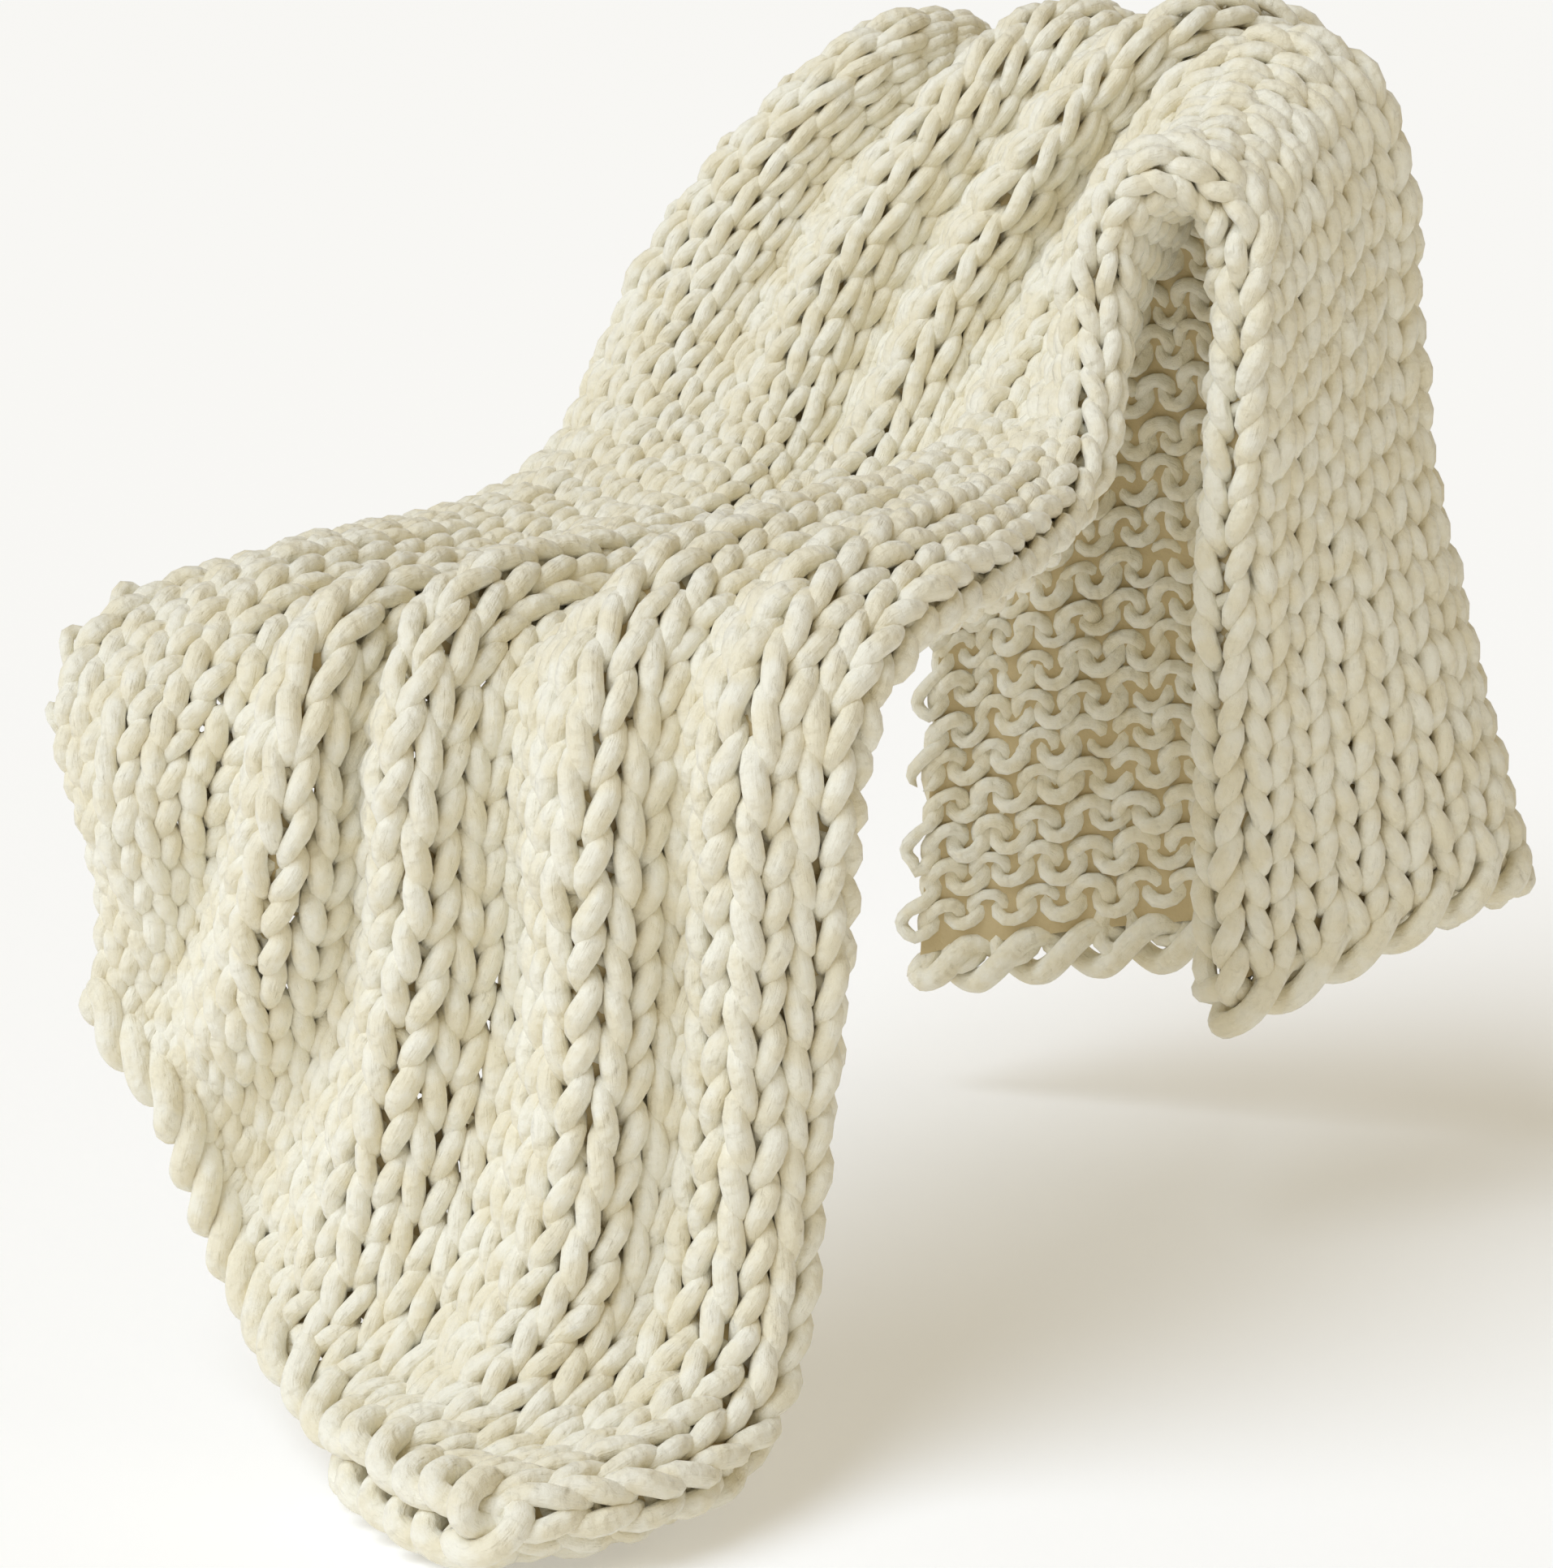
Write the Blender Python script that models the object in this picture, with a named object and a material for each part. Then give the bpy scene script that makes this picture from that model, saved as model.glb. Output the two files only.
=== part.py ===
"""Chunky knit throw blanket, draped over an armchair: one closed solid for each skein of yarn.

The throw is one rectangle of stocking stitch. Eleven skeins were knitted one after the
other, so each of them is a band of six courses that runs from side edge to side edge, and
the bands lie end to end from the front hem to the rear hem. The right-hand wales are folded
under along the whole length, which makes that edge double.

Axes: the chair faces -Y, its sitter's left is +X, +Z is up. The origin is the place on the
seat cushion that carries the throw. The guide wales below are measured from the floor under
the middle of the seat's front edge, and SEAT_REST moves them to the origin.
"""

import bpy
import numpy as np

# ---- driving dimensions, in metres ----
SEAT_REST = (-0.0386, 0.1657, 0.447)
SKEINS = 11
COURSES_PER_SKEIN = 6
COURSES = SKEINS * COURSES_PER_SKEIN
WALES_SHOWN = 20
WALES_UNDER = 8
WALES = WALES_SHOWN + WALES_UNDER
CLOTH_THICKNESS = 0.02
TURN_RADIUS = 0.0125
HEM_SHARE = 0.012
SKEIN_GAP = 0.001
CLOTH_LENGTH = 1.75

# ---- how finely the drape is worked out ----
FINE_ACROSS = 121
FINE_ALONG = 401
GUIDE_SAMPLES = 500
FACES_ACROSS = 42
ROWS_PER_SKEIN = 6
TURN_STEPS = 8

# ---- the seat flattens the cloth that it carries ----
REST_REACH = 0.006
REST_FRONT = 0.05
REST_BACK = 0.30
REST_COLUMNS = 13

YARN_COLOUR = (0.807, 0.770, 0.651, 1.0)
YARN_ROUGHNESS = 0.9

# Five guide wales, by their place across the part of the width that shows: the number of
# courses in front of the seat's front edge, the number of the point on that edge, and the
# route from the front hem over the seat, the back or the arm, and down to the rear hem.
GUIDE_WALES = {
    0.00: (10, 6, [
        (-0.220, -0.086, 0.242), (-0.219, -0.070, 0.262), (-0.218, -0.063, 0.300),
        (-0.224, -0.061, 0.335), (-0.236, -0.062, 0.370), (-0.246, -0.054, 0.411),
        (-0.238, -0.018, 0.448), (-0.192, 0.080, 0.458), (-0.154, 0.190, 0.457),
        (-0.126, 0.290, 0.459), (-0.106, 0.372, 0.485), (-0.086, 0.405, 0.550),
        (-0.048, 0.430, 0.625), (0.010, 0.455, 0.695), (0.055, 0.490, 0.728),
        (0.080, 0.550, 0.705), (0.075, 0.590, 0.590), (0.060, 0.605, 0.430),
        (0.045, 0.615, 0.260), (0.030, 0.630, 0.070),
    ]),
    0.25: (16, 5, [
        (-0.163, -0.096, 0.168), (-0.160, -0.078, 0.188), (-0.150, -0.068, 0.245),
        (-0.140, -0.070, 0.320), (-0.120, -0.070, 0.400), (-0.100, -0.035, 0.455),
        (-0.050, 0.060, 0.460), (0.000, 0.160, 0.458), (0.030, 0.260, 0.461),
        (0.035, 0.350, 0.495), (0.045, 0.400, 0.565), (0.080, 0.430, 0.645),
        (0.130, 0.460, 0.710), (0.165, 0.500, 0.732), (0.185, 0.560, 0.690),
        (0.185, 0.600, 0.570), (0.180, 0.615, 0.430), (0.170, 0.625, 0.280),
        (0.160, 0.635, 0.100),
    ]),
    0.50: (19.5, 6, [
        (-0.108, -0.112, 0.076), (-0.100, -0.094, 0.098), (-0.076, -0.085, 0.152),
        (-0.042, -0.080, 0.225), (-0.018, -0.075, 0.312), (-0.005, -0.070, 0.400),
        (0.010, -0.030, 0.464), (0.050, 0.060, 0.474), (0.090, 0.160, 0.476),
        (0.115, 0.260, 0.480), (0.125, 0.345, 0.505), (0.145, 0.395, 0.575),
        (0.183, 0.424, 0.655), (0.222, 0.450, 0.710), (0.268, 0.490, 0.734),
        (0.308, 0.538, 0.716), (0.330, 0.574, 0.655), (0.338, 0.592, 0.560),
        (0.342, 0.605, 0.430),
        (0.348, 0.620, 0.300), (0.355, 0.630, 0.145),
    ]),
    0.75: (21, 6, [
        (-0.022, -0.192, 0.048), (0.025, -0.158, 0.060), (0.065, -0.122, 0.120),
        (0.090, -0.095, 0.205), (0.105, -0.080, 0.310), (0.112, -0.070, 0.395),
        (0.120, -0.046, 0.460), (0.138, 0.004, 0.492), (0.160, 0.065, 0.502),
        (0.184, 0.140, 0.503),
        (0.200, 0.235, 0.505), (0.206, 0.335, 0.530), (0.218, 0.394, 0.595),
        (0.252, 0.420, 0.668), (0.286, 0.436, 0.711), (0.328, 0.454, 0.715),
        (0.356, 0.470, 0.672), (0.366, 0.480, 0.580), (0.378, 0.488, 0.475),
        (0.412, 0.508, 0.350),
        (0.452, 0.533, 0.212),
    ]),
    1.00: (22.5, 8, [
        (0.085, -0.270, 0.047), (0.140, -0.230, 0.047), (0.180, -0.170, 0.047),
        (0.194, -0.110, 0.062), (0.198, -0.072, 0.120), (0.204, -0.060, 0.215),
        (0.210, -0.061, 0.320), (0.214, -0.060, 0.405), (0.224, -0.038, 0.468),
        (0.238, 0.012, 0.498), (0.250, 0.080, 0.504), (0.252, 0.165, 0.505),
        (0.247, 0.250, 0.517),
        (0.234, 0.318, 0.566), (0.231, 0.341, 0.628), (0.247, 0.355, 0.672),
        (0.282, 0.364, 0.690), (0.318, 0.368, 0.673), (0.333, 0.368, 0.628),
        (0.332, 0.364, 0.500), (0.329, 0.364, 0.360), (0.332, 0.370, 0.160),
    ]),
}

# Folds run along the wales. Each has its place across and its height at the stations, which
# are shares of the length from the front hem, and its half width.
STATIONS = (0.0, 0.12, 0.25, 0.40, 0.55, 0.70, 0.82, 1.0)
FOLDS = {
    "left_roll": (
        (0.11, 0.11, 0.08, 0.07, 0.04, 0.05, 0.07, 0.06),
        (0.0048, 0.0144, 0.0120, 0.0040, 0.0100, 0.0140, 0.0100, 0.0040), 0.045,
    ),
    "corner_crease": (
        (0.08, 0.22, 0.2, 0.14, 0.16, 0.18, 0.18, 0.18),
        (-0.0048, -0.0192, -0.0216, -0.0020, -0.0080, -0.0140, -0.0080, 0.0020), 0.038,
    ),
    "corner_ridge": (
        (0.2, 0.33, 0.305, 0.22, 0.245, 0.26, 0.25, 0.24),
        (0.0096, 0.0240, 0.0264, 0.0060, 0.0100, 0.0080, 0.0040, 0.0020), 0.040,
    ),
    "corner_valley": (
        (0.4, 0.42, 0.38, 0.32, 0.37, 0.37, 0.37, 0.36),
        (-0.0048, -0.0168, -0.0216, -0.0040, -0.0100, -0.0100, -0.0060, 0.0000), 0.036,
    ),
    "long_ridge": (
        (0.58, 0.54, 0.46, 0.41, 0.46, 0.48, 0.47, 0.44),
        (0.0072, 0.0216, 0.0288, 0.0120, 0.0130, 0.0160, 0.0140, 0.0100), 0.036,
    ),
    "broad_valley": (
        (0.72, 0.66, 0.58, 0.53, 0.56, 0.57, 0.56, 0.54),
        (-0.0048, -0.0156, -0.0216, -0.0070, -0.0090, -0.0100, -0.0080, -0.0060), 0.048,
    ),
    "right_ridge": (
        (0.82, 0.76, 0.7, 0.67, 0.66, 0.65, 0.65, 0.66),
        (0.0072, 0.0180, 0.0264, 0.0110, 0.0090, 0.0100, 0.0080, 0.0040), 0.044,
    ),
    "arm_valley": (
        (0.89, 0.86, 0.81, 0.79, 0.78, 0.75, 0.75, 0.78),
        (-0.0048, -0.0132, -0.0180, -0.0020, 0.0000, 0.0000, 0.0000, 0.0000), 0.038,
    ),
    "arm_ridge": (
        (0.96, 0.95, 0.9, 0.89, 0.88, 0.86, 0.87, 0.9),
        (0.0048, 0.0108, 0.0180, 0.0090, 0.0040, 0.0020, 0.0010, 0.0000), 0.042,
    ),
}


def smooth_curve(keys, values, at):
    """Natural cubic spline through values at keys, read at other places along it."""
    keys = np.asarray(keys, float)
    values = np.asarray(values, float)
    count = len(keys)
    step = np.diff(keys)
    system = np.eye(count)
    change = np.zeros_like(values)
    for i in range(1, count - 1):
        system[i, i - 1:i + 2] = step[i - 1], 2 * (step[i - 1] + step[i]), step[i]
        rise = (values[i + 1] - values[i]) / step[i]
        change[i] = 6 * (rise - (values[i] - values[i - 1]) / step[i - 1])
    bend = np.linalg.solve(system, change.reshape(count, -1)).reshape(values.shape)
    piece = np.clip(np.searchsorted(keys, at, side="right") - 1, 0, count - 2)
    column = (-1,) + (1,) * (values.ndim - 1)
    width = step[piece].reshape(column)
    left = (keys[piece + 1] - at).reshape(column)
    right = (at - keys[piece]).reshape(column)
    curved = (bend[piece] * left**3 + bend[piece + 1] * right**3) / (6 * width)
    start = values[piece] / width - bend[piece] * width / 6
    end = values[piece + 1] / width - bend[piece + 1] * width / 6
    return curved + start * left + end * right


def guide_wale(edge_courses, edge_point, route, along):
    """Points of one guide wale at shares of the length counted in courses.

    The courses are spread evenly over the drop and evenly over the rest, with a smooth change
    where the wale crosses the seat's front edge.
    """
    route = np.array(route)
    chords = np.linalg.norm(np.diff(route, axis=0), axis=1)
    knots = np.concatenate([[0.0], np.cumsum(chords**0.75)])
    fine = np.linspace(0.0, knots[-1], GUIDE_SAMPLES)
    steps = np.linalg.norm(np.diff(smooth_curve(knots, route, fine), axis=0), axis=1)
    run = np.concatenate([[0.0], np.cumsum(steps)])
    edge_run = np.interp(knots[edge_point], fine, run)
    edge_share = edge_courses / COURSES
    drop_rate = edge_run / edge_share
    rest_rate = (run[-1] - edge_run) / (1 - edge_share)
    edge_rate = 2 * drop_rate * rest_rate / (drop_rate + rest_rate)
    shares = np.array([0.0, edge_share, 1.0])
    runs = np.array([0.0, edge_run, run[-1]])
    rates = np.array([drop_rate, edge_rate, rest_rate])
    part = (along >= edge_share).astype(int)
    width = np.diff(shares)[part]
    t = (along - shares[part]) / width
    wanted = (
        (1 + 2 * t) * (1 - t)**2 * runs[part]
        + t * (1 - t)**2 * width * rates[part]
        + t**2 * (3 - 2 * t) * runs[part + 1]
        + t**2 * (t - 1) * width * rates[part + 1]
    )
    return smooth_curve(knots, route, np.interp(wanted, run, fine))


def face_normals(net):
    """Unit normals of a net of points, towards the knit side."""
    normal = np.cross(np.gradient(net, axis=0), np.gradient(net, axis=1))
    return normal / np.linalg.norm(normal, axis=2, keepdims=True)


def fold_heights(across, along):
    """How far the folds lift or sink the cloth, for each place across and along."""
    lift = np.zeros((len(across), len(along)))
    for places, heights, half_width in FOLDS.values():
        centre = smooth_curve(STATIONS, places, along)
        height = smooth_curve(STATIONS, heights, along)
        off_centre = (across[:, None] - centre[None]) / half_width
        lift += height[None] * np.exp(-off_centre**2 / 2)
    return lift


def strip_depths(base, lift):
    """How far under the base the turned-under strip lies, to stay clear of every fold.

    The strip rolls along below the folds at the distance of the turn, and never rises into
    a ridge.
    """
    reach = 2 * TURN_RADIUS
    steps = np.linalg.norm(np.diff(base, axis=0), axis=2)
    run = np.concatenate([np.zeros((1, base.shape[1])), np.cumsum(steps, axis=0)])
    apart = np.abs(run[:, None] - run[None])
    below = np.sqrt(np.clip(reach**2 - apart**2, 0.0, None)) - lift[None]
    deepest = np.where(apart < reach, below, 0.0).max(axis=1)
    return -np.maximum(deepest, reach)


def even_steps(row, length, count):
    """Points at even steps along a row of points."""
    steps = np.linalg.norm(np.diff(row, axis=0), axis=1)
    run = np.concatenate([[0.0], np.cumsum(steps)])
    goal = np.linspace(0.0, min(length, run[-1]), count)
    return np.stack([np.interp(goal, run, row[:, axis]) for axis in range(3)], axis=1)


def draped_net(along):
    """The middle of the cloth: a point for each column of faces and each place along.

    The wales that show lie on the guides and their folds. At the right edge the cloth turns
    round a half circle, and the last wales run back under the others.
    """
    across = np.linspace(0.0, 1.0, FINE_ACROSS)
    guides = [guide_wale(*GUIDE_WALES[place], along) for place in sorted(GUIDE_WALES)]
    base = smooth_curve(sorted(GUIDE_WALES), np.array(guides), across)
    upward = face_normals(base)
    lift = fold_heights(across, along)
    shown = base + upward * lift[..., None]

    outward = np.gradient(shown, axis=0)[-1]
    outward /= np.linalg.norm(outward, axis=1, keepdims=True)
    edge_up = face_normals(shown)[-1]
    centre = shown[-1] - edge_up * TURN_RADIUS
    angles = np.linspace(0.0, np.pi, TURN_STEPS + 1)[1:]
    turn = np.array([
        centre + TURN_RADIUS * (edge_up * np.cos(angle) + outward * np.sin(angle))
        for angle in angles
    ])

    under_share = WALES_UNDER / WALES_SHOWN
    strip = (base + upward * strip_depths(base, lift)[..., None])[across >= 0.5][::-1]
    rows = np.concatenate([shown, turn, strip[1:]], axis=0)

    net = np.zeros((FACES_ACROSS + 1, len(along), 3))
    for j in range(len(along)):
        shown_length = np.linalg.norm(np.diff(shown[:, j], axis=0), axis=1).sum()
        net[:, j] = even_steps(rows[:, j], shown_length * (1 + under_share), FACES_ACROSS + 1)
    return net


def rest_on_seat(points):
    """Flatten the underside where the seat cushion carries it."""
    column = np.arange(points.shape[0])[:, None]
    over_seat = (points[..., 1] > REST_FRONT) & (points[..., 1] < REST_BACK)
    near_seat = np.abs(points[..., 2] - SEAT_REST[2]) < REST_REACH
    points[(column <= REST_COLUMNS) & over_seat & near_seat, 2] = SEAT_REST[2]
    return points


def yarn_material(name):
    """Soft matte yarn in cream."""
    material = bpy.data.materials.new(name)
    material.use_nodes = True
    shader = material.node_tree.nodes["Principled BSDF"]
    shader.inputs["Base Color"].default_value = YARN_COLOUR
    shader.inputs["Roughness"].default_value = YARN_ROUGHNESS
    shader.inputs["Metallic"].default_value = 0.0
    return material


def closed_band(face_side, seat_side):
    """Vertices and triangles of a closed slab between two nets of points."""
    across, along = face_side.shape[:2]
    vertices = np.concatenate([face_side.reshape(-1, 3), seat_side.reshape(-1, 3)])
    under = across * along

    def number(i, j, side=0):
        return side * under + i * along + j

    triangles = []
    for i in range(across - 1):
        for j in range(along - 1):
            a, b, c, d = number(i, j), number(i + 1, j), number(i + 1, j + 1), number(i, j + 1)
            triangles += [(a, b, c), (a, c, d)]
            triangles += [(c + under, b + under, a + under), (d + under, c + under, a + under)]
    for i in range(across - 1):
        for j, flip in ((0, False), (along - 1, True)):
            a, b, c, d = number(i, j), number(i + 1, j), number(i + 1, j, 1), number(i, j, 1)
            wall = [(a, c, b), (a, d, c)]
            triangles += [face[::-1] for face in wall] if flip else wall
    for j in range(along - 1):
        for i, flip in ((0, True), (across - 1, False)):
            a, b, c, d = number(i, j), number(i, j + 1), number(i, j + 1, 1), number(i, j, 1)
            wall = [(a, c, b), (a, d, c)]
            triangles += [face[::-1] for face in wall] if flip else wall
    return vertices, triangles


def course_share(course):
    """Share of the whole length at a course counted from the front hem."""
    return HEM_SHARE + (1 - 2 * HEM_SHARE) * course / COURSES


def read_net(net, along, wanted):
    """A net's points at wanted shares of the length, between the shares it was worked out at."""
    step = np.clip(np.searchsorted(along, wanted) - 1, 0, len(along) - 2)
    part = ((wanted - along[step]) / (along[step + 1] - along[step]))[None, :, None]
    return net[:, step] * (1 - part) + net[:, step + 1] * part


def build_skein(number, along, face_side, seat_side):
    """One skein's band of courses, numbered from the cast-on at the rear hem."""
    last = COURSES - number * COURSES_PER_SKEIN
    gap = SKEIN_GAP / 2 / CLOTH_LENGTH
    start = 0.0 if last == 0 else course_share(last) + gap
    end = 1.0 if number == 1 else course_share(last + COURSES_PER_SKEIN) - gap
    rows = np.linspace(start, end, ROWS_PER_SKEIN)
    underside = rest_on_seat(read_net(seat_side, along, rows))
    vertices, triangles = closed_band(read_net(face_side, along, rows), underside)

    name = f"yarn_skein_{number}"
    mesh = bpy.data.meshes.new(name)
    mesh.from_pydata((vertices - np.array(SEAT_REST)).tolist(), [], triangles)
    mesh.materials.append(yarn_material(name))
    mesh.shade_smooth()
    skein = bpy.data.objects.new(name, mesh)
    bpy.context.scene.collection.objects.link(skein)


def main():
    for thing in list(bpy.data.objects):
        bpy.data.objects.remove(thing)
    along = np.linspace(0.0, 1.0, FINE_ALONG)
    net = draped_net(along)
    half = face_normals(net) * CLOTH_THICKNESS / 2
    for number in range(1, SKEINS + 1):
        build_skein(number, along, net + half, net - half)


main()
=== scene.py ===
"""Chunky hand-knit throw in cream yarn, draped over the seat, back and arm of an armchair.

The throw is one rectangle of stocking stitch, 28 stitches wide and 66 courses long. Eleven
skeins were knitted one after the other, from the cast-on at the rear hem to the bind-off at
the front hem. The right-hand wales are folded under along the whole length. Each skein is one
continuous yarn that runs to and fro through its own courses.

A place on the cloth is given by its wale, counted from the left edge, by its course, counted
from the cast-on, and by its height over the middle of the cloth, towards the knit side.
"""

import logging
from dataclasses import dataclass, field
from enum import Enum

import bpy
import numpy as np
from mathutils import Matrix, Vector


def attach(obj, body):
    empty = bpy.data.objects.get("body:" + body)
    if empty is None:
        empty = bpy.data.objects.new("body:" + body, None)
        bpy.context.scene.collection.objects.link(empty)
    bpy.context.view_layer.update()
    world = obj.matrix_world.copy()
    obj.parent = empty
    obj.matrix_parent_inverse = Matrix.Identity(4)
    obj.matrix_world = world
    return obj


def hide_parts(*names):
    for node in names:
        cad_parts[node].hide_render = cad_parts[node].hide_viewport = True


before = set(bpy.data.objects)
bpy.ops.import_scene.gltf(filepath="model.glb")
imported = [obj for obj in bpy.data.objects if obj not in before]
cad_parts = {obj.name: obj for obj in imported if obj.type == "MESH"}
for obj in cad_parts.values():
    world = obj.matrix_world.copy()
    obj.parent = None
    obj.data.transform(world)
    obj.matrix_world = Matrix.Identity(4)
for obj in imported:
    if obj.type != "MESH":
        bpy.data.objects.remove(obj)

log = logging.getLogger("throw")

BODY = "root"

SKEINS = 11
COURSES_PER_SKEIN = 6
COURSES = SKEINS * COURSES_PER_SKEIN
WALES_SHOWN = 20
WALES_UNDER = 8
WALES = WALES_SHOWN + WALES_UNDER
FULL_TURN = 2 * np.pi

Colour = tuple[float, float, float, float]
Point = tuple[float, float, float]
Guide = tuple[float, int, list[Point]]
Fold = tuple[tuple[float, ...], tuple[float, ...], float]
YarnPath = tuple[np.ndarray, np.ndarray]


# ---- small tools ----


def linear_colour(code: str) -> Colour:
    """Turn an sRGB hex colour into linear values.

    Args:
        code: Six hex digits, such as "ECE6D2".

    Returns:
        Red, green, blue and alpha, from 0 to 1.
    """
    values = [int(code[i:i + 2], 16) / 255 for i in (0, 2, 4)]
    linear = [c / 12.92 if c <= 0.04045 else ((c + 0.055) / 1.055) ** 2.4 for c in values]
    return (*linear, 1.0)


def add_node(
    tree: bpy.types.NodeTree,
    kind: str,
    settings: dict[str, object] | None = None,
    **sockets: object,
) -> bpy.types.Node:
    """Add a node with its settings, values and links.

    Args:
        tree: The node tree it goes into.
        kind: Blender's name for the kind of node.
        settings: The node's own properties.
        **sockets: An input's name, with underscores for spaces, or its number after "i". The
            value is a plain value or the output socket to link to it.

    Returns:
        The new node.
    """
    node = tree.nodes.new(kind)
    for name, value in (settings or {}).items():
        setattr(node, name, value)
    for name, value in sockets.items():
        numbered = name[0] == "i" and name[1:].isdigit()
        socket = node.inputs[int(name[1:]) if numbered else name.replace("_", " ")]
        if isinstance(value, bpy.types.NodeSocket):
            tree.links.new(value, socket)
        else:
            socket.default_value = value
    return node


def smooth_curve(keys: np.ndarray, values: np.ndarray, at: np.ndarray) -> np.ndarray:
    """Natural cubic spline through values at keys.

    Args:
        keys: Increasing places of the values.
        values: One value or one point for each key.
        at: The places to read.

    Returns:
        The values at those places.
    """
    keys = np.asarray(keys, float)
    values = np.asarray(values, float)
    count = len(keys)
    step = np.diff(keys)
    system = np.eye(count)
    change = np.zeros_like(values)
    for i in range(1, count - 1):
        system[i, i - 1:i + 2] = step[i - 1], 2 * (step[i - 1] + step[i]), step[i]
        rise = (values[i + 1] - values[i]) / step[i]
        change[i] = 6 * (rise - (values[i] - values[i - 1]) / step[i - 1])
    bend = np.linalg.solve(system, change.reshape(count, -1)).reshape(values.shape)
    piece = np.clip(np.searchsorted(keys, at, side="right") - 1, 0, count - 2)
    column = (-1,) + (1,) * (values.ndim - 1)
    width = step[piece].reshape(column)
    left = (keys[piece + 1] - at).reshape(column)
    right = (at - keys[piece]).reshape(column)
    curved = (bend[piece] * left**3 + bend[piece + 1] * right**3) / (6 * width)
    start = values[piece] / width - bend[piece] * width / 6
    end = values[piece + 1] / width - bend[piece + 1] * width / 6
    return curved + start * left + end * right


def running_length(points: np.ndarray) -> np.ndarray:
    """Length walked along points, from 0 at the first.

    Args:
        points: Points in order along the first axis.

    Returns:
        The length at each point, in metres.
    """
    steps = np.linalg.norm(np.diff(points, axis=0), axis=-1)
    return np.concatenate([np.zeros_like(steps[:1]), np.cumsum(steps, axis=0)])


def face_normals(net: np.ndarray) -> np.ndarray:
    """Unit normals of a net of points.

    Args:
        net: A point for each step across and each step along.

    Returns:
        A normal for each point, towards the knit side.
    """
    normal = np.cross(np.gradient(net, axis=0), np.gradient(net, axis=1))
    return normal / np.linalg.norm(normal, axis=2, keepdims=True)


# ---- the drape ----


@dataclass
class ClothNet:
    """The middle of the draped cloth, as a fine net of points.

    Attributes:
        points: A point for each step across and each step along.
        normals: Unit normals, towards the knit side.
        pitches: Width of a wale at each point, in metres.
        hem_share: Share of the length taken by each hem's edge.
    """

    points: np.ndarray
    normals: np.ndarray
    pitches: np.ndarray
    hem_share: float

    def read(self, values: np.ndarray, wale: np.ndarray, course: np.ndarray) -> np.ndarray:
        """Read values of the net at any wale and course.

        Args:
            values: One of the net's arrays.
            wale: Places across, in wales from the left edge.
            course: Places along, in courses from the cast-on.

        Returns:
            The values there.
        """
        wale, course = np.broadcast_arrays(wale, course)
        across, along = values.shape[:2]
        share = self.hem_share + (1 - 2 * self.hem_share) * (COURSES - course) / COURSES
        x = wale / WALES * (across - 1)
        y = share * (along - 1)
        i = np.clip(np.floor(x).astype(int), 0, across - 2)
        j = np.clip(np.floor(y).astype(int), 0, along - 2)
        s, t = x - i, y - j
        if values.ndim == 3:
            s, t = s[..., None], t[..., None]
        low = values[i, j] * (1 - s) + values[i + 1, j] * s
        high = values[i, j + 1] * (1 - s) + values[i + 1, j + 1] * s
        return low * (1 - t) + high * t

    def place(self, wale: np.ndarray, course: np.ndarray, height: np.ndarray) -> np.ndarray:
        """Points over the cloth.

        Args:
            wale: Places across, in wales from the left edge.
            course: Places along, in courses from the cast-on.
            height: Heights over the middle of the cloth, in metres.

        Returns:
            The points, in the row frame.
        """
        lift = np.broadcast_to(height, np.broadcast(wale, course).shape)[..., None]
        return self.read(self.points, wale, course) + self.read(self.normals, wale, course) * lift


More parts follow.
